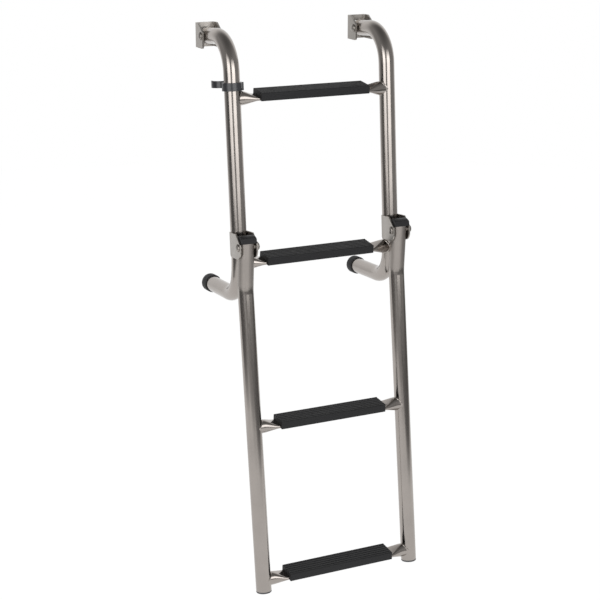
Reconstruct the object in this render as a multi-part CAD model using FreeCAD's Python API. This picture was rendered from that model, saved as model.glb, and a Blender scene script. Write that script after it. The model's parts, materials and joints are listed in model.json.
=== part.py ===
import FreeCAD, Part
import math
import os

# Folding boarding ladder of polished stainless tube, four steps.
# Frame: millimetres, +Z up, X across the ladder, +Y into the wall that the brackets are screwed to.
# Origin: the middle of the left bracket's back face, so the wall is the plane Y = 0.

# Rails
rail_diameter = 25.4
rail_wall = 1.5
rail_spacing = 269.0
end_bore_depth = 24.0

# Lean of each section away from the wall, in degrees, as it hangs in use
upper_lean = 4.7
lower_lean = 7.3

# Top brackets, formed from plate
bracket_plate = 2.8
bracket_height = 38.5
bracket_depth = 32.0
bracket_side_gap = 1.5
bracket_bend_radius = 4.0
bracket_top_land = 13.4
bracket_front_shoulder = 6.5
bracket_corner_radius = 3.5
bracket_pivot_depth = 23.3
screw_hole_diameter = 5.5
screw_head_diameter = 10.0
screw_pitch = 14.0

# Pivot bolts, the same at the brackets and at the fold
bolt_diameter = 8.0
bolt_running_gap = 0.08
bolt_head_diameter = 12.5
bolt_head_height = 3.2
nut_across = 12.0
nut_height = 3.4
nut_dome_height = 2.0

# Upper section, measured from the bracket pivot along the rail and across it
stub_reach = 81.4
stub_overhang = 12.0
top_bend_radius = 54.0
standoff_below_fold = 87.2
standoff_rise = 1.2
standoff_face_gap = 1.0
setback_radius = 220.0
setback_angle = 12.0
setback_below_pivot = 5.0
step_1_drop = 93.8
step_2_below_fold = 30.8

# Fold hinge
fold_drop = 321.2
fold_offset = 31.8
ear_plate = 2.3
ear_inner_half = 13.1
ear_back = 2.0
ear_front = 40.3
ear_top = 20.6
ear_bottom = 18.5
ear_chamfer_length = 15.7
ear_chamfer_drop = 15.0
ear_nose_round = 13.0
ear_heel_round = 4.0
ear_joggle_start = 9.0
ear_joggle_length = 3.0
ear_seat_depth = 0.5
knuckle_radius = 18.5
knuckle_side_gap = 0.25
knuckle_edge_chamfer = 1.0
knuckle_stem = 26.0
hood_edge_rise = 6.0
hood_front_stand = 0.5

# Lower section, measured from the fold pivot along the rail and across it
lower_offset = 16.0
lower_kink_drop = 68.0
lower_top_offset = 2.8
lower_length = 567.0
fold_travel = 180.0
bottom_step_rise = 17.6
lower_step_pitch = 256.0

# Steps: a round tube pressed flat in the middle, and a moulded tread over the flat
step_tube_diameter = 22.0
step_flat_width = 28.0
step_flat_height = 6.0
step_tilt = 11.0
step_round_length = 3.0
step_round_sides = 32
tread_length = 187.0
tread_end_margin = 4.0
tread_depth = 34.0
tread_height = 13.0
tread_over_flat = 7.7
tread_shift = 1.2
tread_edge_radius = 1.8
tread_groove_count = 5
tread_groove_width = 1.6
tread_groove_depth = 0.9
tread_groove_margin = 4.5

# Rubber caps on the standoff legs and plugs in the feet
cap_diameter = 29.4
cap_length = 17.0
cap_end_thickness = 3.6
cap_edge_chamfer = 1.4
plug_flange = 3.0
plug_stem = 18.0
plug_edge_chamfer = 1.0

# Stow clip on the left rail
clip_drop = 75.3
clip_height = 12.6
clip_wall = 3.0
clip_grip_gap = 0.08
clip_lug_width = 12.0
clip_lug_stand = 1.4
clip_jaw_height = 10.8
clip_jaw_rise = 2.4
clip_jaw_gap = 0.4
clip_mouth = 0.86
clip_turn = 86.0

X = FreeCAD.Vector(1, 0, 0)
Y = FreeCAD.Vector(0, 1, 0)
Z = FreeCAD.Vector(0, 0, 1)

rail_radius = rail_diameter / 2.0
standoff_drop = fold_drop + standoff_below_fold
upper_step_drops = [step_1_drop, fold_drop + step_2_below_fold]
lower_step_drops = [lower_length - bottom_step_rise - lower_step_pitch, lower_length - bottom_step_rise]
bolt_radius = bolt_diameter / 2.0
bolt_hole_radius = bolt_radius + bolt_running_gap
bracket_inner_half = rail_radius + bracket_side_gap
bracket_outer_half = bracket_inner_half + bracket_plate
ear_outer_half = ear_inner_half + ear_plate
knuckle_half = ear_inner_half - knuckle_side_gap


def vec(x, y, z):
    return FreeCAD.Vector(x, y, z)


def cylinder(radius, length, start, direction):
    return Part.makeCylinder(radius, length, start, direction)


def box(size_x, size_y, size_z, x, y, z):
    """A box given by its size and its lowest corner."""
    return Part.makeBox(size_x, size_y, size_z, vec(x, y, z))


def prism_along_x(points, x_start, x_end):
    """A prism with the outline points (y, z), from x_start to x_end."""
    corners = [vec(x_start, y, z) for y, z in points]
    face = Part.Face(Part.makePolygon(corners + corners[:1]))
    return face.extrude(vec(x_end - x_start, 0, 0))


def edges_along(shape, direction, where):
    """The straight edges parallel to a direction whose middle passes a test."""
    found = []
    for edge in shape.Edges:
        if edge.Curve.TypeId != "Part::GeomLine":
            continue
        if abs(abs(edge.tangentAt(edge.FirstParameter).dot(direction)) - 1.0) > 1e-6:
            continue
        if where(edge.CenterOfMass):
            found.append(edge)
    return found


def turned_along_x(points):
    """A round solid about the X axis with the half outline points (x, radius)."""
    corners = [vec(x, 0, radius) for x, radius in points]
    face = Part.Face(Part.makePolygon(corners + corners[:1]))
    return face.revolve(vec(0, 0, 0), X, 360)


def tube_along(points, radii, radius):
    """A round bar through points (y, z) at X = 0, with an arc of the given radius at each inner point."""
    pieces = []
    last = vec(0, points[0][0], points[0][1])
    for index in range(1, len(points) - 1):
        corner = vec(0, points[index][0], points[index][1])
        before = vec(0, points[index - 1][0], points[index - 1][1])
        after = vec(0, points[index + 1][0], points[index + 1][1])
        back = (before - corner).normalize()
        ahead = (after - corner).normalize()
        half_turn = (math.pi - back.getAngle(ahead)) / 2.0
        setback = radii[index - 1] * math.tan(half_turn)
        arc_start = corner + back * setback
        arc_end = corner + ahead * setback
        centre = corner + (back + ahead).normalize() * (radii[index - 1] / math.cos(half_turn))
        straight = arc_start - last
        if straight.Length > 1e-6:
            pieces.append(cylinder(radius, straight.Length, last, straight))
        disc = Part.Face(Part.Wire([Part.makeCircle(radius, arc_start, back)]))
        turn_axis = ahead.cross(back)
        pieces.append(disc.revolve(centre, turn_axis, math.degrees(2 * half_turn)))
        last = arc_end
    end = vec(0, points[-1][0], points[-1][1])
    pieces.append(cylinder(radius, (end - last).Length, last, end - last))
    return pieces[0].multiFuse(pieces[1:]).removeSplitter()


def place(shape, lean, pivot):
    """Turn a section's shape about X by its lean and set its own zero on a pivot of the ladder."""
    placed = shape.copy()
    placed.rotate(vec(0, 0, 0), X, -lean)
    placed.translate(pivot)
    return placed


def mirror_to_right(shape):
    """The right side's copy of a piece made for the left rail."""
    return shape.mirror(vec(rail_spacing / 2.0, 0, 0), X)


def turned(y, z, lean):
    """The place (y, z) of a section after the section's lean about X."""
    angle = math.radians(lean)
    return (y * math.cos(angle) + z * math.sin(angle), -y * math.sin(angle) + z * math.cos(angle))


bracket_pivot = vec(0, -bracket_pivot_depth, 0)
fold_y, fold_z = turned(-stub_reach - fold_offset, -fold_drop, upper_lean)
fold_pivot = bracket_pivot + vec(0, fold_y, fold_z)


# Top bracket: a channel with its back on the wall and its two ears beside the tube
def top_bracket():
    outer = box(
        2 * bracket_outer_half, bracket_depth, bracket_height, -bracket_outer_half, -bracket_depth, -bracket_height / 2
    )
    back_corners = edges_along(outer, Z, lambda middle: middle.y > -0.01)
    outer = outer.makeFillet(bracket_bend_radius, back_corners)
    inner = box(
        2 * bracket_inner_half, bracket_depth, bracket_height + 2,
        -bracket_inner_half, -bracket_depth - bracket_plate, -bracket_height / 2 - 1
    )
    inner_corners = edges_along(inner, Z, lambda middle: middle.y > -bracket_plate - 0.01)
    inner = inner.makeFillet(bracket_bend_radius - bracket_plate, inner_corners)
    channel = outer.cut(inner)
    top = bracket_height / 2
    shoulder = prism_along_x(
        [(-bracket_top_land, top), (-bracket_depth, bracket_front_shoulder),
         (-bracket_depth - 1, bracket_front_shoulder), (-bracket_depth - 1, top + 1), (-bracket_top_land, top + 1)],
        -bracket_outer_half - 1, bracket_outer_half + 1
    )
    channel = channel.cut(shoulder)
    toes = edges_along(channel, X, lambda middle: middle.y < 1 - bracket_depth and middle.z < 1 - top)
    channel = channel.makeFillet(bracket_corner_radius, toes)
    channel = channel.cut(
        cylinder(bolt_radius, 4 * bracket_outer_half, vec(-2 * bracket_outer_half, -bracket_pivot_depth, 0), X)
    )
    for height in (-screw_pitch / 2, screw_pitch / 2):
        hole = cylinder(screw_hole_diameter / 2, bracket_plate + 2, vec(0, 1, height), -Y)
        sink_depth = (screw_head_diameter - screw_hole_diameter) / 2
        sink = Part.makeCone(
            screw_hole_diameter / 2, screw_head_diameter / 2, sink_depth,
            vec(0, sink_depth - bracket_plate, height), -Y
        )
        channel = channel.cut(hole.fuse(sink))
    return channel


# Bolt with a domed head on the left, and an acorn nut on the right
def pivot_bolt(half_grip):
    head_radius = bolt_head_diameter / 2
    crown = -half_grip - bolt_head_height
    return turned_along_x([
        (half_grip + nut_height, 0), (half_grip + nut_height, bolt_radius), (-half_grip, bolt_radius),
        (-half_grip, head_radius), (-half_grip - bolt_head_height * 0.3, head_radius),
        (-half_grip - bolt_head_height * 0.75, head_radius * 0.78), (crown, head_radius * 0.4), (crown, 0),
    ])


def acorn_nut(half_grip):
    corners = []
    for index in range(6):
        angle = math.radians(60 * index)
        corner_radius = nut_across / 2 / math.cos(math.radians(30))
        corners.append((corner_radius * math.cos(angle), corner_radius * math.sin(angle)))
    nut = prism_along_x(corners, half_grip, half_grip + nut_height)
    dome_radius = nut_across * 0.46
    base = half_grip + nut_height
    dome = turned_along_x([
        (base, 0), (base, dome_radius), (base + nut_dome_height * 0.65, dome_radius * 0.8),
        (base + nut_dome_height, dome_radius * 0.4), (base + nut_dome_height, 0),
    ])
    nut = nut.fuse(dome).removeSplitter()
    return nut.cut(cylinder(bolt_radius, nut_height, vec(half_grip, 0, 0), X))


# Upper rail: stub through the bracket, top bend, straight rail, set-back and standoff leg
def leg_line():
    """The corner where the leg's line starts, the leg's direction, and the middle of the cap's flat end."""
    reach = math.radians(setback_angle)
    corner_z = -fold_drop - setback_below_pivot - setback_radius * math.tan(reach / 2)
    corner_y = -stub_reach + (standoff_drop + corner_z) * math.tan(reach)
    lean = math.radians(upper_lean)
    rise = math.tan(math.radians(standoff_rise))
    room = bracket_pivot_depth - standoff_face_gap + (standoff_drop + corner_y * rise) * math.sin(lean)
    face_y = room / (math.cos(lean) + rise * math.sin(lean))
    corner = vec(0, corner_y, -standoff_drop)
    face = vec(0, face_y, -standoff_drop + (face_y - corner_y) * rise)
    return corner, (face - corner).normalize(), face


def upper_rail():
    reach = math.radians(setback_angle)
    setback_top = -fold_drop - setback_below_pivot
    corner_z = setback_top - setback_radius * math.tan(reach / 2)
    arc_bottom_z = setback_top - setback_radius * math.sin(reach)
    leg_corner, leg_direction, leg_face = leg_line()
    leg_end = leg_face - leg_direction * cap_end_thickness
    leg_turn = math.radians(90.0 - setback_angle + standoff_rise)
    leg_room = (standoff_drop + arc_bottom_z) / math.cos(reach)
    points = [
        (stub_overhang, 0),
        (-stub_reach, 0),
        (-stub_reach, corner_z),
        (leg_corner.y, leg_corner.z),
        (leg_end.y, leg_end.z),
    ]
    radii = [top_bend_radius, setback_radius, leg_room / math.tan(leg_turn / 2)]
    rail = tube_along(points, radii, rail_radius)
    bore_radius = rail_radius - rail_wall
    rail = rail.cut(cylinder(bore_radius, end_bore_depth, vec(0, stub_overhang, 0), -Y))
    rail = rail.cut(cylinder(bore_radius, end_bore_depth, leg_end, leg_direction * -1))
    cross = 2 * rail_diameter
    rail = rail.cut(cylinder(bolt_hole_radius, cross, vec(-cross / 2, 0, 0), X))
    return rail


def standoff_cap():
    leg_direction, leg_face = leg_line()[1:]
    cap = cylinder(cap_diameter / 2, cap_length, leg_face, leg_direction * -1)
    rims = [edge for edge in cap.Edges if edge.Closed]
    cap = cap.makeChamfer(cap_edge_chamfer, rims)
    socket = cylinder(rail_radius, cap_length, leg_face - leg_direction * cap_end_thickness, leg_direction * -1)
    return cap.cut(socket)


# Step: near-round sections at the rails and an oblong one along the flat, joined by straight flat sides
def oblong(width, height, x):
    """The corners of an oblong outline at X = x, width along Y and height along Z, centred on the axis."""
    half = (width - height) / 2.0
    radius = height / 2.0
    corners = []
    for side in (1, -1):
        for index in range(step_round_sides // 2 + 1):
            angle = math.pi * index / (step_round_sides // 2)
            corners.append(vec(x, side * (half + radius * math.sin(angle)), side * radius * math.cos(angle)))
    return corners


def bar_through(sections):
    """The solid with flat sides through outlines that have the same number of corners."""
    faces = []
    for outline in (sections[0], sections[-1]):
        faces.append(Part.Face(Part.makePolygon(outline + outline[:1])))
    for near, far in zip(sections[:-1], sections[1:]):
        for index in range(len(near)):
            after = (index + 1) % len(near)
            corners = [near[index], near[after], far[after], far[index]]
            faces.append(Part.Face(Part.makePolygon(corners + corners[:1])))
    shell = Part.makeShell(faces)
    shell.sewShape()
    solid = Part.makeSolid(shell)
    if solid.Volume < 0:
        solid.reverse()
    return solid


def flat_start():
    return (rail_spacing - tread_length) / 2.0 - tread_end_margin


def step_bar():
    round_width = step_tube_diameter + 0.2
    cone_start = rail_radius + step_round_length
    sections = [
        oblong(round_width, step_tube_diameter, 0),
        oblong(round_width, step_tube_diameter, cone_start),
        oblong(step_flat_width, step_flat_height, flat_start()),
        oblong(step_flat_width, step_flat_height, rail_spacing - flat_start()),
        oblong(round_width, step_tube_diameter, rail_spacing - cone_start),
        oblong(round_width, step_tube_diameter, rail_spacing),
    ]
    return bar_through(sections)


def tread():
    top = tread_over_flat + step_flat_height / 2
    front = -tread_depth / 2 - tread_shift
    start = (rail_spacing - tread_length) / 2
    pad = box(tread_length, tread_depth, tread_height, start, front, top - tread_height)
    pad = pad.makeFillet(tread_edge_radius, edges_along(pad, X, lambda middle: middle.z > 0))
    groove_span = tread_depth - 2 * tread_groove_margin - tread_groove_width
    for index in range(tread_groove_count):
        groove_y = front + tread_groove_margin + groove_span * index / (tread_groove_count - 1)
        groove = box(
            tread_length + 2, tread_groove_width, tread_groove_depth + 1,
            start - 1, groove_y, top - tread_groove_depth
        )
        pad = pad.cut(groove)
    flat = [oblong(step_flat_width, step_flat_height, x) for x in (start - 1, start + tread_length + 1)]
    return pad.cut(bar_through(flat))


def step_parts(rail, drop, offset, lean, pivot):
    """One step's bar and tread, coped to the two rails of its section."""
    settled = []
    for shape in (step_bar(), tread()):
        part = shape.copy()
        part.rotate(vec(0, 0, 0), X, step_tilt)
        part.translate(vec(0, offset, -drop))
        settled.append(part)
    bar = settled[0].cut(rail).cut(mirror_to_right(rail))
    bar = max(bar.Solids, key=lambda solid: solid.Volume)
    return place(bar, lean, pivot), place(settled[1], lean, pivot)


# Fold hinge ear: a plate that lies on the rail's side and steps out to clear the knuckle
def hinge_ear(side, rail):
    rear = -ear_back
    step_out = ear_joggle_start + ear_joggle_length
    seat = rail_radius - ear_seat_depth
    plan = [
        (seat, rear), (seat + ear_plate, rear), (seat + ear_plate, ear_joggle_start),
        (ear_outer_half, step_out), (ear_outer_half, ear_front), (ear_inner_half, ear_front),
        (ear_inner_half, step_out), (seat, ear_joggle_start),
    ]
    corners = [vec(side * x, -stub_reach - y, -fold_drop - ear_bottom) for x, y in plan]
    face = Part.Face(Part.makePolygon(corners + corners[:1]))
    plate = face.extrude(vec(0, 0, ear_top + ear_bottom))
    outline = [
        (-stub_reach + ear_back, -fold_drop + ear_top),
        (-stub_reach - ear_front + ear_chamfer_length, -fold_drop + ear_top),
        (-stub_reach - ear_front, -fold_drop + ear_top - ear_chamfer_drop),
        (-stub_reach - ear_front, -fold_drop - ear_bottom),
        (-stub_reach + ear_back, -fold_drop - ear_bottom),
    ]
    blank = prism_along_x(outline, -2 * ear_outer_half, 2 * ear_outer_half)
    blank_bottom = -fold_drop - ear_bottom + 0.01
    nose = edges_along(blank, X, lambda middle: middle.z < blank_bottom and middle.y < -stub_reach - ear_back)
    blank = blank.makeFillet(ear_nose_round, nose)
    heel = edges_along(blank, X, lambda middle: middle.z < blank_bottom and middle.y > -stub_reach)
    blank = blank.makeFillet(ear_heel_round, heel)
    plate = plate.common(blank)
    plate = plate.cut(rail)
    hole_y = -stub_reach - fold_offset
    plate = plate.cut(cylinder(bolt_radius, 4 * ear_outer_half, vec(-2 * ear_outer_half, hole_y, -fold_drop), X))
    return max(plate.Solids, key=lambda solid: solid.Volume)


# Lower rail: a short top run cut straight under the hood, a slight kink, then straight to the foot
def lower_top():
    """The middle of the rail's cut top end and the direction of its top run, upwards."""
    slope = (lower_offset - lower_top_offset) / lower_kink_drop
    return vec(0, lower_top_offset - slope * hood_edge_rise, hood_edge_rise), vec(0, -slope, 1).normalize()


def lower_rail():
    top, upwards = lower_top()
    above = top + upwards * rail_diameter
    points = [(above.y, above.z), (lower_offset, -lower_kink_drop), (lower_offset, -lower_length)]
    rail = tube_along(points, [3 * rail_diameter], rail_radius)
    half = 2 * rail_diameter
    rail = rail.cut(box(2 * half, 2 * half, half, -half, -half, hood_edge_rise))
    bore = rail_radius - rail_wall
    rail = rail.cut(cylinder(bore, knuckle_stem + rail_radius, top + upwards * rail_radius, upwards * -1))
    rail = rail.cut(cylinder(bore, end_bore_depth, vec(0, lower_offset, -lower_length), Z))
    rail = rail.cut(cylinder(bolt_hole_radius, 2 * half, vec(-half, 0, 0), X))
    return rail


# Knuckle: a moulded hood on the rail's cut top end, with a stem in the tube for the bolt to pass
def knuckle():
    top, upwards = lower_top()
    drum = cylinder(knuckle_radius, 2 * knuckle_half, vec(-knuckle_half, 0, 0), X)
    rims = [edge for edge in drum.Edges if edge.Closed]
    drum = drum.makeChamfer(knuckle_edge_chamfer, rims)
    front = top.y - rail_radius - hood_front_stand
    hood = drum.common(box(2 * knuckle_half, 4 * knuckle_radius, 4 * knuckle_radius, -knuckle_half, front, hood_edge_rise))
    stem = cylinder(rail_radius - rail_wall, knuckle_stem + 2, top + upwards * 2, upwards * -1)
    hood = hood.fuse(stem).removeSplitter()
    return hood.cut(cylinder(bolt_hole_radius, 4 * knuckle_half, vec(-2 * knuckle_half, 0, 0), X))


def foot_plug():
    flange = cylinder(rail_radius, plug_flange, vec(0, lower_offset, -lower_length), -Z)
    lower_rim = [edge for edge in flange.Edges if edge.Closed and edge.CenterOfMass.z < -lower_length - 0.1]
    flange = flange.makeChamfer(plug_edge_chamfer, lower_rim)
    stem = cylinder(rail_radius - rail_wall, plug_stem, vec(0, lower_offset, -lower_length), Z)
    return flange.fuse(stem).removeSplitter()


def folded_rail_reach(drop):
    """How far in front of the upper rail the folded lower rail stands, level with a drop on the upper rail."""
    turn = math.radians(fold_travel + lower_lean - upper_lean)
    height = fold_drop - drop
    along = -(height + lower_offset * math.sin(turn)) / math.cos(turn)
    return fold_offset - lower_offset * math.cos(turn) + along * math.sin(turn)


# Stow clip: a ring round the rail with a lug on one side, and an open jaw that takes the folded rail
def stow_clip():
    low = -clip_height / 2
    jaw_low = clip_jaw_rise - clip_jaw_height / 2
    jaw_reach = folded_rail_reach(clip_drop)
    grip = rail_radius + clip_grip_gap
    jaw = rail_radius + clip_jaw_gap
    ring = cylinder(grip + clip_wall, clip_height, vec(0, 0, low), Z)
    lug_reach = grip + clip_wall + clip_lug_stand
    lug = box(clip_lug_width, lug_reach, clip_height, -clip_lug_width / 2, -lug_reach, low)
    hook = cylinder(jaw + clip_wall, clip_jaw_height, vec(jaw_reach, 0, jaw_low), Z)
    waist = box(jaw_reach, rail_radius, clip_height / 2 - jaw_low, 0, -rail_radius / 2, jaw_low)
    body = ring.fuse(lug).fuse(hook).fuse(waist)
    body = body.cut(cylinder(grip, 3 * clip_height, vec(0, 0, 3 * low), Z))
    body = body.cut(cylinder(jaw, 3 * clip_height, vec(jaw_reach, 0, 3 * low), Z))
    opening = 2 * jaw * clip_mouth
    mouth_start = jaw_reach + jaw * 0.3
    body = body.cut(box(2 * jaw + clip_wall, opening, 3 * clip_height, mouth_start, -opening / 2, 3 * low))
    body = max(body.Solids, key=lambda solid: solid.Volume)
    body.rotate(vec(0, 0, 0), Z, 180 - clip_turn)
    body.translate(vec(0, -stub_reach, -clip_drop))
    return body


def save(shape, name):
    solids = shape.Solids
    if len(solids) != 1 or not solids[0].isValid():
        print("CHECK", name, len(solids), shape.isValid())
    solids[0].exportStep("parts/" + name + ".step")


def main():
    os.makedirs("parts", exist_ok=True)
    bracket = top_bracket()
    bracket_bolt = pivot_bolt(bracket_outer_half)
    bracket_bolt.translate(bracket_pivot)
    bracket_nut = acorn_nut(bracket_outer_half)
    bracket_nut.translate(bracket_pivot)
    shift = vec(rail_spacing, 0, 0)

    def both(shape, name, mirrored):
        save(shape, "left_" + name)
        if mirrored:
            save(mirror_to_right(shape), "right_" + name)
        else:
            moved = shape.copy()
            moved.translate(shift)
            save(moved, "right_" + name)

    both(bracket, "bracket", False)
    both(bracket_bolt, "bracket_bolt", False)
    both(bracket_nut, "bracket_nut", False)

    upper = upper_rail()
    both(place(upper, upper_lean, bracket_pivot), "upper_rail", True)
    both(place(standoff_cap(), upper_lean, bracket_pivot), "standoff_cap", True)
    for index, drop in enumerate(upper_step_drops):
        bar, pad = step_parts(upper, drop, -stub_reach, upper_lean, bracket_pivot)
        save(bar, "step_%d_bar" % (index + 1))
        save(pad, "step_%d_tread" % (index + 1))

    outer_ear = place(hinge_ear(-1, upper), upper_lean, bracket_pivot)
    inner_ear = place(hinge_ear(1, upper), upper_lean, bracket_pivot)
    both(outer_ear, "hinge_outer_ear", True)
    both(inner_ear, "hinge_inner_ear", True)
    hinge_bolt = pivot_bolt(ear_outer_half)
    hinge_bolt.translate(fold_pivot)
    hinge_nut = acorn_nut(ear_outer_half)
    hinge_nut.translate(fold_pivot)
    both(hinge_bolt, "hinge_bolt", False)
    both(hinge_nut, "hinge_nut", False)

    lower = lower_rail()
    both(place(lower, lower_lean, fold_pivot), "lower_rail", True)
    both(place(knuckle(), lower_lean, fold_pivot), "hinge_knuckle", True)
    both(place(foot_plug(), lower_lean, fold_pivot), "foot_plug", True)
    for index, drop in enumerate(lower_step_drops):
        bar, pad = step_parts(lower, drop, lower_offset, lower_lean, fold_pivot)
        save(bar, "step_%d_bar" % (index + 3))
        save(pad, "step_%d_tread" % (index + 3))

    save(place(stow_clip(), upper_lean, bracket_pivot), "stow_clip")


main()
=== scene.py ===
import json
import math

import bmesh
import bpy
from mathutils import Matrix, Vector


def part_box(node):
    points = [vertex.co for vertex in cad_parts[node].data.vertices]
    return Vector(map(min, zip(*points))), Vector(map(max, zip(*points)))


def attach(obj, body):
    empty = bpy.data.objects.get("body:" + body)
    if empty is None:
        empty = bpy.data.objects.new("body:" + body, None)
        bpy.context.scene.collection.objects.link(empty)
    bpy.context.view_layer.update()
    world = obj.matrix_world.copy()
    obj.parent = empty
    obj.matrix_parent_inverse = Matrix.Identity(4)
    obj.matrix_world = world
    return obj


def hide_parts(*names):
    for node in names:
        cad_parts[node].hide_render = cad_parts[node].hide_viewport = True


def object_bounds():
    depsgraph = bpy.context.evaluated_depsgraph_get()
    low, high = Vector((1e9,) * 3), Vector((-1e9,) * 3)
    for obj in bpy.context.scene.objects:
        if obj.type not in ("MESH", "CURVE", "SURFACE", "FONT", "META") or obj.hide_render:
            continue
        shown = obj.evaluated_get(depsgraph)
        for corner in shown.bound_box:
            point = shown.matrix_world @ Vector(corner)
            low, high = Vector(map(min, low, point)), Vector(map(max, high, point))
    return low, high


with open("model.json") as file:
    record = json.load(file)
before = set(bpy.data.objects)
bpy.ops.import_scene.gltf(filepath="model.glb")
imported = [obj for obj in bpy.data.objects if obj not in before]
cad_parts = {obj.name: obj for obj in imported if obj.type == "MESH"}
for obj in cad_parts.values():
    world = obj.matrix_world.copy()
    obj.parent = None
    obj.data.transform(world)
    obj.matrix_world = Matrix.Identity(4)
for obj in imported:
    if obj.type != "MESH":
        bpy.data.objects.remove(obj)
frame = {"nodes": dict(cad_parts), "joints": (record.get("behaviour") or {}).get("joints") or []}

nodes = frame["nodes"]
cad_box = [list(corner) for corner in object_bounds()]


# The photographer's place: the camera stands in front of the ladder, to its left and a little
# above the brackets, and looks down along the rails. The lens is a short telephoto.
camera_data = bpy.data.cameras.new("studio_camera")
camera_data.sensor_width = 36.0
camera_data.lens = 1468.3 / 600.0 * camera_data.sensor_width
camera_data.clip_end = 50.0
camera = bpy.data.objects.new("studio_camera", camera_data)
bpy.context.collection.objects.link(camera)
bpy.context.scene.camera = camera
camera_azimuth = math.radians(-24.91)
camera_elevation = math.radians(16.87)
camera.location = (-0.85425, -2.19795, 0.2724)
camera.rotation_euler = (math.pi / 2 - camera_elevation, 0.0, camera_azimuth)
bpy.context.scene.view_settings.view_transform = "Standard"


# The studio: a white backdrop behind the ladder, which metal sees as white as the camera does.
# Beside and behind the camera the room is darker, and two tall softboxes stand in front.
class Socket:
    """An output socket; sums written with it add the maths nodes that they need."""

    tree = None

    def __init__(self, socket):
        self.socket = socket

    @classmethod
    def node(cls, kind, settings=None, inputs=None, output=0):
        made = cls.tree.nodes.new(kind)
        for name, value in (settings or {}).items():
            setattr(made, name, value)
        for name, value in (inputs or {}).items():
            cls.feed(made.inputs[name], value)
        return cls(made.outputs[output])

    @classmethod
    def feed(cls, target, value):
        if isinstance(value, Socket):
            cls.tree.links.new(value.socket, target)
        else:
            target.default_value = value

    @classmethod
    def ramp(cls, value, stops):
        made = cls.tree.nodes.new("ShaderNodeValToRGB")
        while len(made.color_ramp.elements) < len(stops):
            made.color_ramp.elements.new(0.5)
        for element, (place, level) in zip(made.color_ramp.elements, stops):
            element.position = place
            element.color = (level, level, level, 1.0)
        cls.feed(made.inputs["Fac"], value)
        return cls(made.outputs["Color"])

    @classmethod
    def math(cls, operation, first, second=0.0, clamp=False):
        settings = {"operation": operation, "use_clamp": clamp}
        return cls.node("ShaderNodeMath", settings, {0: first, 1: second})

    @classmethod
    def blend(cls, factor, first, second):
        made = cls.tree.nodes.new("ShaderNodeMix")
        made.data_type = "RGBA"
        cls.feed(made.inputs["Factor"], factor)
        cls.feed(made.inputs["A"], first)
        cls.feed(made.inputs["B"], second)
        return cls(made.outputs["Result"])

    def __add__(self, other):
        return self.math("ADD", self, other)

    def __radd__(self, other):
        return self.math("ADD", other, self)

    def __sub__(self, other):
        return self.math("SUBTRACT", self, other)

    def __rsub__(self, other):
        return self.math("SUBTRACT", other, self)

    def __mul__(self, other):
        return self.math("MULTIPLY", self, other)

    def __rmul__(self, other):
        return self.math("MULTIPLY", other, self)

    def clamped(self):
        return self.math("ADD", self, 0.0, True)


world = bpy.data.worlds.new("studio")
world.use_nodes = True
bpy.context.scene.world = world
Socket.tree = world.node_tree
path = Socket.tree.nodes.new("ShaderNodeLightPath")
seen_directly = Socket.math(
    "MAXIMUM", Socket(path.outputs["Is Camera Ray"]), Socket(path.outputs["Is Transmission Ray"])
)
seen_in_gloss = Socket(path.outputs["Is Glossy Ray"])
compass = Socket.node("ShaderNodeTexCoord", output="Generated")
split = Socket.tree.nodes.new("ShaderNodeSeparateXYZ")
Socket.feed(split.inputs[0], compass)
forward = Vector((math.sin(-camera_azimuth), math.cos(camera_azimuth), 0.0))
rightward = Vector((math.cos(camera_azimuth), math.sin(camera_azimuth), 0.0))
east, north, up = (Socket(split.outputs[name]) for name in ("X", "Y", "Z"))
away = east * forward.x + north * forward.y
across = east * rightward.x + north * rightward.y
wall_levels = [(0.0, 0.25), (0.4, 0.38), (0.7, 0.41), (0.79, 0.85), (0.84, 1.0), (1.0, 1.0)]
stand_levels = [(0.0, 0.16), (0.2, 0.17), (0.38, 0.52), (0.6, 0.345), (0.73, 0.17), (0.98, 0.41)]
ceiling_grey = (0.15, 0.15, 0.15, 1.0)
wall = Socket.ramp(away * 0.5 + 0.5, wall_levels)
stands = Socket.ramp(across * 0.5 + 0.5, stand_levels)
low_in_front = ((0.02 - up) * 25.0).clamped() * ((0.1 - away) * 4.0).clamped()
overhead = ((up - 0.55) * 2.2).clamped()
white = (1.0, 1.0, 1.0, 1.0)
room_fill = 0.50
room = Socket.blend(overhead, Socket.blend(low_in_front, wall, stands), ceiling_grey)
room_light = Socket.blend(seen_in_gloss, (room_fill, room_fill, room_fill, 1.0), room)
Socket.feed(Socket.tree.nodes["Background"].inputs["Color"], Socket.blend(seen_directly, room_light, white))

softbox_foot, softbox_height, softbox_distance = -0.48, 2.0, 2.0
softbox_radiance = 2.65
softbox_fade = [(0.0, 0.42), (0.22, 0.92), (0.5, 1.0), (0.62, 0.75), (1.0, 0.0)]
ladder_middle = Vector((0.134, -0.15, 0.0))
for name, turn, width in (("softbox_left", -34.0, 1.34), ("softbox_right", 29.0, 1.60)):
    lamp_data = bpy.data.lights.new(name, "AREA")
    lamp_data.shape = "RECTANGLE"
    lamp_data.size = width
    lamp_data.size_y = softbox_height
    lamp_data.energy = softbox_radiance * math.pi * width * softbox_height
    lamp_data.use_nodes = True
    Socket.tree = lamp_data.node_tree
    cloth = Socket.node("ShaderNodeNewGeometry", output="Parametric")
    height_on_cloth = Socket.node("ShaderNodeSeparateXYZ", None, {0: cloth}, "Y")
    Socket.feed(Socket.tree.nodes["Emission"].inputs["Strength"], Socket.ramp(height_on_cloth, softbox_fade))
    lamp = bpy.data.objects.new(name, lamp_data)
    heading = camera_azimuth + math.radians(turn)
    lamp.location = ladder_middle + Vector((
        softbox_distance * math.sin(heading),
        -softbox_distance * math.cos(heading),
        softbox_foot + softbox_height / 2,
    ))
    lamp.rotation_euler = (math.pi / 2, 0.0, heading)
    bpy.context.collection.objects.link(lamp)


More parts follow.
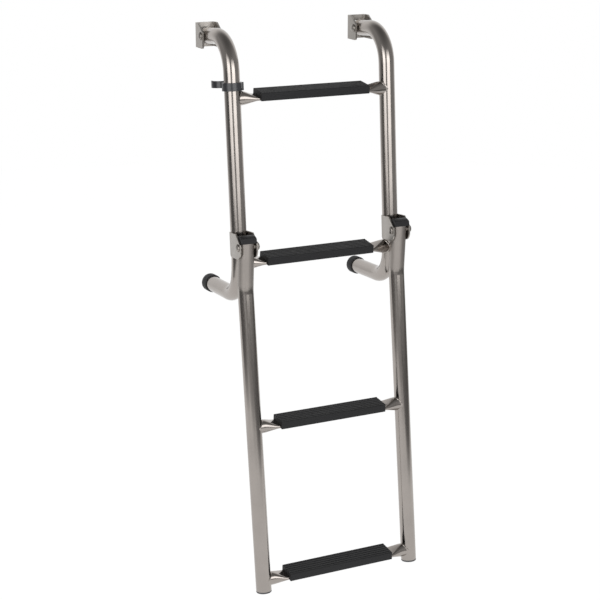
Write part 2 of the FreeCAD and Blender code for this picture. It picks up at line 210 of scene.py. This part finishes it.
# The floor: a white round board under the ladder's feet that glows white, as a product table lit from below
# does, so that it keeps only a faint shadow. In reflections it shows a painted pool of light instead: a
# glowing patch about the ladder, painted dim beyond it.
floor_radius = 3.6
floor_drop = 0.05
floor_glow = 1.1
floor_mesh = bmesh.new()
bmesh.ops.create_circle(floor_mesh, cap_ends=True, segments=96, radius=floor_radius)
bmesh.ops.translate(floor_mesh, verts=floor_mesh.verts, vec=(0.134, -0.10, cad_box[0][2] - floor_drop))
floor_data = bpy.data.meshes.new("floor")
floor_mesh.to_mesh(floor_data)
floor_mesh.free()
floor = bpy.data.objects.new("floor", floor_data)
bpy.context.collection.objects.link(floor)


def new_material(name, roughness, metallic=0.0):
    material = bpy.data.materials.new(name)
    material.use_nodes = True
    Socket.tree = material.node_tree
    shader = material.node_tree.nodes["Principled BSDF"]
    shader.inputs["Roughness"].default_value = roughness
    shader.inputs["Metallic"].default_value = metallic
    return material, shader


floor_paint, floor_shader = new_material("pale_floor", 0.9)
floor_shader.inputs["Base Color"].default_value = (0.86, 0.86, 0.86, 1.0)
floor_shader.inputs["Specular IOR Level"].default_value = 0.1
path = Socket.tree.nodes.new("ShaderNodeLightPath")
place = Socket.node("ShaderNodeTexCoord", output="Object")
split = Socket.tree.nodes.new("ShaderNodeSeparateXYZ")
Socket.feed(split.inputs[0], place)
east, north = Socket(split.outputs["X"]) - ladder_middle.x, Socket(split.outputs["Y"]) - ladder_middle.y
aside = east * rightward.x + north * rightward.y
nearer = (east * forward.x + north * forward.y) * -1.0
behind = (nearer * -1.0).clamped()
# Painted pool of light, seen only in reflections: a mask round the ladder that sets how brightly the floor glows.
pool_reach_left, pool_reach_right, pool_reach_front, pool_edge_sharpness = 1.75, 1.35, 3.0, 2.5
painted_light_pool = ((aside + pool_reach_left + behind * 2.0) * pool_edge_sharpness).clamped()
painted_light_pool = painted_light_pool * ((pool_reach_right - aside) * pool_edge_sharpness).clamped() * ((pool_reach_front - nearer) * 1.1).clamped()
painted_pool_glow = 0.16 + 0.84 * painted_light_pool
lit = Socket(floor_shader.outputs[0])
glow = Socket.node("ShaderNodeEmission", None, {"Color": white, "Strength": floor_glow})
# The painted pool of light glows for glossy rays only; the camera sees the even white floor.
painted_floor_reflection = Socket.node("ShaderNodeEmission", None, {"Color": white, "Strength": painted_pool_glow})
shown = Socket.node("ShaderNodeMixShader", None, {0: Socket(path.outputs["Is Camera Ray"]) * 0.85, 1: lit, 2: glow})
shown = Socket.node("ShaderNodeMixShader", None, {0: Socket(path.outputs["Is Glossy Ray"]), 1: shown, 2: painted_floor_reflection})
Socket.feed(Socket.tree.nodes["Material Output"].inputs["Surface"], shown)
floor_data.materials.append(floor_paint)


# Two brackets, each pressed from one stainless plate: a back that is screwed to the hull and two
# ears that hold the rail's stub. The edges are rounded by tumbling and the faces buffed.
def steel(name, base, roughness, haze_depth=0.10, ripple=0.0, satin_above=None):
    """Buffed stainless steel: soft cloudy haze in colour and gloss, and a slight ripple in the surface."""
    material, shader = new_material(name, roughness, 1.0)
    place = Socket.node("ShaderNodeTexCoord", output="Object")
    haze = Socket.node("ShaderNodeTexNoise", None, {"Vector": place, "Scale": 26.0, "Detail": 3.0})
    rub = Socket.node("ShaderNodeTexNoise", None, {"Vector": place, "Scale": 420.0, "Detail": 3.0, "Roughness": 0.65})
    dull = tuple(channel * (1.0 - 2.0 * haze_depth) for channel in base)
    Socket.feed(shader.inputs["Base Color"], Socket.blend(haze, (*base, 1.0), (*dull, 1.0)))
    gloss = haze * 0.07 + rub * 0.012 + (roughness - 0.041)
    if satin_above is not None:
        height = Socket.node("ShaderNodeSeparateXYZ", None, {0: place}, "Z")
        gloss = gloss + ((height - satin_above) * 120.0).clamped() * 0.26
    Socket.feed(shader.inputs["Roughness"], gloss)
    height = haze * 0.95 + rub * 0.05
    bump = Socket.node("ShaderNodeBump", None, {"Height": height, "Strength": ripple, "Distance": 0.00003})
    Socket.feed(shader.inputs["Normal"], bump)
    return material


def carry(mesh, name, material, body, *stands_for):
    """Turn a finished bmesh into a smooth-shaded piece that rides on a body and stands for CAD nodes."""
    bmesh.ops.recalc_face_normals(mesh, faces=mesh.faces)
    for face in mesh.faces:
        face.smooth = True
    for edge in mesh.edges:
        edge.smooth = edge.calc_face_angle(0.0) < math.radians(40)
    data = bpy.data.meshes.new(name)
    mesh.to_mesh(data)
    mesh.free()
    data.materials.append(material)
    piece = bpy.data.objects.new(name, data)
    bpy.context.collection.objects.link(piece)
    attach(piece, body)
    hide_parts(*stands_for)
    return piece


def rounded_copy(node, piece_name, material, body, radius, segments=2):
    """The node's own shape with its doubles merged, its flat faces joined and its edges rounded."""
    mesh = bmesh.new()
    mesh.from_mesh(nodes[node].data)
    bmesh.ops.remove_doubles(mesh, verts=mesh.verts, dist=0.00001)
    bmesh.ops.dissolve_limit(mesh, angle_limit=math.radians(1.0), verts=mesh.verts, edges=mesh.edges)
    piece = carry(mesh, piece_name, material, body, node)
    rolled = piece.modifiers.new("rolled_edges", "BEVEL")
    rolled.width = radius
    rolled.segments = segments
    rolled.limit_method = "ANGLE"
    rolled.angle_limit = math.radians(40)
    rolled.harden_normals = True
    return piece


plate_steel = steel("buffed_plate", (0.426, 0.40, 0.371), 0.34, ripple=0.03)
for side in ("left", "right"):
    rounded_copy(side + "_bracket", side + "_bracket_plate", plate_steel, "hull_brackets", 0.0005)


# Four pivot bolts with low domed heads, and four acorn nuts, turned bright from bar. The bolt's
# shank runs through the plate, the tube and the far plate into the nut.
bolt_radius = 0.004
bolt_head_radius, bolt_head_height = 0.00625, 0.0032
nut_across, nut_height, nut_dome_height = 0.012, 0.0034, 0.002
pivots = {joint["name"]: Vector(joint["pos_m"]) for joint in frame["joints"]}
rail_spacing = 0.269


def turned(mesh, profile, steps=40):
    """Spin the half outline (x, radius) about the X axis in a bmesh, and give the verts it made."""
    before = set(mesh.verts)
    verts = [mesh.verts.new((x, 0.0, radius)) for x, radius in profile]
    edges = [mesh.edges.new(pair) for pair in zip(verts, verts[1:])]
    bmesh.ops.spin(
        mesh, geom=verts + edges, axis=(1, 0, 0), angle=2 * math.pi, steps=steps, use_merge=True
    )
    made = [vert for vert in mesh.verts if vert not in before]
    bmesh.ops.remove_doubles(mesh, verts=made, dist=0.000001)
    return [vert for vert in mesh.verts if vert not in before]


def arc(centre_x, centre_radius, reach_x, reach_radius, start, end, steps=6):
    """Points (x, radius) along a quarter of a rounded rim or dome."""
    angles = [math.radians(start + (end - start) * index / steps) for index in range(steps + 1)]
    return [
        (centre_x + reach_x * math.cos(turn), centre_radius + reach_radius * math.sin(turn)) for turn in angles
    ]


bolt_steel = steel("bright_fastener", (0.378, 0.352, 0.326), 0.33, ripple=0.05)
bracket_half_grip, hinge_half_grip = 0.017, 0.0154
grips = (
    ("bracket_swing", "hull_brackets", bracket_half_grip),
    ("fold_hinge", "upper_section", hinge_half_grip),
)
for joint, body, half_grip in grips:
    place = "bracket" if joint == "bracket_swing" else "hinge"
    for side, shift in (("left", 0.0), ("right", rail_spacing)):
        to_pivot = Matrix.Translation(pivots[joint] + Vector((shift, 0.0, 0.0)))
        mesh = bmesh.new()
        rim = -half_grip - 0.3 * bolt_head_height
        turned(mesh, [
            (half_grip + nut_height, 0.0), (half_grip + nut_height, bolt_radius), (-half_grip, bolt_radius),
            (-half_grip, bolt_head_radius), *arc(rim, 0.0, -0.7 * bolt_head_height, bolt_head_radius, 90, 0, 8),
        ])
        bmesh.ops.transform(mesh, matrix=to_pivot, verts=mesh.verts)
        carry(mesh, "%s_%s_bolt_turned" % (side, place), bolt_steel, body, "%s_%s_bolt" % (side, place))
        mesh = bmesh.new()
        seat = half_grip + nut_height
        nut_corner = nut_across / 2 / math.cos(math.radians(30))
        bmesh.ops.create_cone(
            mesh, cap_ends=True, segments=6, radius1=nut_corner, radius2=nut_corner, depth=nut_height,
            matrix=Matrix.Translation((half_grip + nut_height / 2, 0, 0)) @ Matrix.Rotation(math.pi / 2, 4, "Y")
        )
        bmesh.ops.bevel(
            mesh, geom=mesh.edges[:], offset=0.0004, segments=2, profile=0.5, affect="EDGES", material=-1
        )
        bmesh.ops.rotate(mesh, verts=mesh.verts, matrix=Matrix.Rotation(math.pi / 2, 3, "X"))
        dome_radius = 0.46 * nut_across
        turned(mesh, [(seat - 0.001, dome_radius), *arc(seat, 0.0, nut_dome_height, dome_radius, 90, 0, 8)])
        bmesh.ops.transform(mesh, matrix=to_pivot, verts=mesh.verts)
        carry(mesh, "%s_%s_nut_acorn" % (side, place), bolt_steel, body, "%s_%s_nut" % (side, place))


# Two upper rails, each one stainless tube: a stub into the bracket, the top bend, the straight
# rail and, past the hinge, the set-back into the standoff leg. Polished along its whole length.
def dress(names, material):
    for name in names:
        node = nodes[name]
        if not node.material_slots:
            node.data.materials.append(material)
        for slot in node.material_slots:
            slot.material = material


tube_steel = steel("polished_tube", (0.42, 0.385, 0.358), 0.16, ripple=0.06)
dress(["left_upper_rail", "right_upper_rail"], tube_steel)


# Two rubber caps pushed over the ends of the standoff legs, which rest against the hull. Each is
# moulded with rounded rims and a thin lip round the tube.
def moulded(name, base, roughness, grain_size, grain_depth, sheen=0.35):
    """Moulded plastic or rubber with a fine even grain and a slightly uneven sheen."""
    material, shader = new_material(name, roughness)
    place = Socket.node("ShaderNodeTexCoord", output="Object")
    grain = Socket.node("ShaderNodeTexNoise", None, {"Vector": place, "Scale": grain_size, "Detail": 2.0})
    cloud = Socket.node("ShaderNodeTexNoise", None, {"Vector": place, "Scale": 30.0, "Detail": 2.0})
    pale = tuple(channel * 1.3 for channel in base)
    Socket.feed(shader.inputs["Base Color"], Socket.blend(cloud, (*base, 1.0), (*pale, 1.0)))
    Socket.feed(shader.inputs["Roughness"], cloud * 0.12 + (roughness - 0.06))
    shader.inputs["Specular IOR Level"].default_value = sheen
    bump = Socket.node("ShaderNodeBump", None, {"Height": grain, "Strength": 0.2, "Distance": grain_depth})
    Socket.feed(shader.inputs["Normal"], bump)
    return material


def middle_of(node):
    low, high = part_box(node)
    return (low + high) / 2


rail_radius = 0.0127
upper_lean = math.radians(4.7)
leg_rise = math.radians(1.2)
cap_radius, cap_length, cap_rim, cap_lip = 0.0147, 0.017, 0.0022, 0.0008
cap_rubber = moulded("cap_rubber", (0.022, 0.022, 0.023), 0.62, 1500.0, 0.0001)
for side in ("left", "right"):
    mesh = bmesh.new()
    half = cap_length / 2
    turned(mesh, [
        (half, 0.0), (half, cap_radius - 1.6 * cap_rim),
        *arc(half - cap_rim, cap_radius - cap_rim, cap_rim, cap_rim, 0, 90),
        *arc(-half + cap_lip, cap_radius - cap_lip, -cap_lip, cap_lip, 90, 0, 4),
        (-half, rail_radius), (0.0, rail_radius),
    ])
    turn = Matrix.Rotation(leg_rise - upper_lean, 4, "X") @ Matrix.Rotation(math.pi / 2, 4, "Z")
    to_leg = Matrix.Translation(middle_of(side + "_standoff_cap")) @ turn
    bmesh.ops.transform(mesh, matrix=to_leg, verts=mesh.verts)
    carry(mesh, side + "_rubber_cap", cap_rubber, "upper_section", side + "_standoff_cap")


# Four hinge ears, blanked from stainless plate and joggled outwards in front of the tube, so that
# each lies flat on the rail behind and clears the hood in front. Welded to the upper rail.
for side in ("left", "right"):
    for place in ("outer", "inner"):
        node = "%s_hinge_%s_ear" % (side, place)
        rounded_copy(node, node + "_plate", plate_steel, "upper_section", 0.0004)


# Two black hoods, moulded nylon: each closes the cut top of a lower rail, carries the hinge bolt
# and turns between the ears. Its rims are rounded and its front is flat, in line with the tube.
lower_lean = math.radians(7.3)
to_lower = Matrix.Translation(pivots["fold_hinge"]) @ Matrix.Rotation(-lower_lean, 4, "X")
hood_radius, hood_half, hood_rim = 0.0185, 0.01285, 0.0016
hood_foot, hood_front = 0.006, -0.01156
hood_nylon = moulded("hood_nylon", (0.009, 0.009, 0.010), 0.50, 1200.0, 0.0001)
for side, shift in (("left", 0.0), ("right", rail_spacing)):
    mesh = bmesh.new()
    turned(mesh, [
        (-hood_half, 0.0), *arc(-hood_half + hood_rim, hood_radius - hood_rim, -hood_rim, hood_rim, 0, 90),
        *arc(hood_half - hood_rim, hood_radius - hood_rim, hood_rim, hood_rim, 90, 0), (hood_half, 0.0),
    ], 96)
    for point, normal in (((0, 0, hood_foot), (0, 0, -1)), ((0, hood_front, 0), (0, -1, 0))):
        cut = bmesh.ops.bisect_plane(
            mesh, geom=mesh.verts[:] + mesh.edges[:] + mesh.faces[:],
            plane_co=point, plane_no=normal, clear_outer=True,
        )
        rim_edges = [item for item in cut["geom_cut"] if isinstance(item, bmesh.types.BMEdge)]
        bmesh.ops.contextual_create(mesh, geom=rim_edges)
    bmesh.ops.transform(mesh, matrix=Matrix.Translation((shift, 0, 0)) @ to_lower, verts=mesh.verts)
    hood = carry(mesh, side + "_hood", hood_nylon, "lower_section", side + "_hinge_knuckle")
    rolled = hood.modifiers.new("rolled_edges", "BEVEL")
    rolled.width, rolled.segments, rolled.harden_normals = 0.0012, 3, True
    rolled.limit_method, rolled.angle_limit = "ANGLE", math.radians(25)


# Two lower rails of the same tube, cut straight at the top under the hood, slightly kinked below
# it and straight down to the foot. The run above the kink is duller than the rest.
satin_from = -0.382
lower_steel = steel("polished_lower_tube", (0.42, 0.385, 0.358), 0.16, ripple=0.06, satin_above=satin_from)
dress(["left_lower_rail", "right_lower_rail"], lower_steel)


# Two grey plastic plugs that close the feet, with a rounded rim against the ground.
lower_offset, lower_length = 0.016, 0.567
plug_flange, plug_rim, plug_stem = 0.003, 0.0013, 0.018
plug_plastic = moulded("foot_plug_plastic", (0.07, 0.07, 0.073), 0.5, 1500.0, 0.0001)
for side, shift in (("left", 0.0), ("right", rail_spacing)):
    mesh = bmesh.new()
    turned(mesh, [
        (plug_flange, 0.0), *arc(plug_flange - plug_rim, rail_radius - plug_rim, plug_rim, plug_rim, 0, 90),
        (0.0, rail_radius), (0.0, rail_radius - 0.0016), (-plug_stem, rail_radius - 0.0018), (-plug_stem, 0.0),
    ])
    downwards = Matrix.Translation((shift, lower_offset, -lower_length)) @ Matrix.Rotation(math.pi / 2, 4, "Y")
    bmesh.ops.transform(mesh, matrix=to_lower @ downwards, verts=mesh.verts)
    carry(mesh, side + "_foot_plug_moulded", plug_plastic, "lower_section", side + "_foot_plug")


# Four step bars: a round tube pressed flat in its middle, so that each end swells like a cone
# into the round, coped and welded to the rails with a small bead.
step_tilt = math.radians(11.0)
bar_diameter, flat_width, flat_height = 0.022, 0.028, 0.006
tread_length, tread_margin = 0.187, 0.004
bead_radius = 0.0011
flat_start = (rail_spacing - tread_length) / 2 - tread_margin
cone_start = rail_radius + 0.003
to_upper = Matrix.Translation(pivots["bracket_swing"]) @ Matrix.Rotation(-upper_lean, 4, "X")
steps = [
    ("step_1", to_upper, -0.0814, 0.0938, "upper_section"),
    ("step_2", to_upper, -0.0814, 0.3520, "upper_section"),
    ("step_3", to_lower, lower_offset, 0.2934, "lower_section"),
    ("step_4", to_lower, lower_offset, 0.5494, "lower_section"),
]


def oblong_ring(mesh, x, width, height):
    """The edges of an oblong outline across the X axis: a circle with its halves moved apart."""
    across = Matrix.Rotation(math.pi / 2, 4, "Y") @ Matrix.Rotation(math.pi / 64, 4, "Z")
    made = bmesh.ops.create_circle(mesh, segments=64, radius=height / 2, matrix=across)
    for vert in made["verts"]:
        vert.co.y += math.copysign((width - height) / 2, vert.co.y)
        vert.co.x = x
    return list({edge for vert in made["verts"] for edge in vert.link_edges})


for name, to_section, offset, drop, body in steps:
    mesh = bmesh.new()
    swell = 7
    stations = [(0.0055, bar_diameter, bar_diameter)]
    for index in range(swell + 1):
        share = index / swell
        ease = share * share * (3 - 2 * share) * 0.35 + share * 0.65
        x = cone_start + (flat_start - cone_start) * share
        width = bar_diameter + (flat_width - bar_diameter) * ease
        height = bar_diameter + (flat_height - bar_diameter) * ease
        stations.append((x, width, height))
    stations += [(rail_spacing - x, width, height) for x, width, height in reversed(stations)]
    rings = [oblong_ring(mesh, *station) for station in stations]
    for near, far in zip(rings, rings[1:]):
        bmesh.ops.bridge_loops(mesh, edges=near + far)
    for end, inward in ((0.0, 1.0), (rail_spacing, -1.0)):
        bead = turned(mesh, [
            *arc(0.0, bar_diameter / 2, bead_radius, bead_radius, 0, 360, 8)[:-1],
            (bead_radius, bar_diameter / 2),
        ], 64)
        for vert in bead:
            on_rail = math.sqrt(rail_radius ** 2 - min(abs(vert.co.y), 0.0125) ** 2)
            vert.co.x = end + inward * (vert.co.x + on_rail)
    tilt = Matrix.Translation((0, offset, -drop)) @ Matrix.Rotation(step_tilt, 4, "X")
    bmesh.ops.transform(mesh, matrix=to_section @ tilt, verts=mesh.verts)
    carry(mesh, name + "_pressed_bar", tube_steel, body, name + "_bar")


# Four treads, moulded in black plastic and pushed over the flat of each bar: ribs run along the
# top, and the front edge is drawn down over the bar.
tread_plastic = moulded("tread_plastic", (0.010, 0.010, 0.011), 0.60, 900.0, 0.0001)
for name, to_section, offset, drop, body in steps:
    rounded_copy(name + "_tread", name + "_ribbed_tread", tread_plastic, body, 0.0005)


# The stow clip, moulded in black nylon: it snaps round the left rail and its open jaw takes the
# folded lower rail.
clip_nylon = moulded("clip_nylon", (0.017, 0.017, 0.020), 0.28, 1200.0, 0.0001, sheen=0.75)
rounded_copy("stow_clip", "stow_clip_moulded", clip_nylon, "stow_clip", 0.0007, 3)
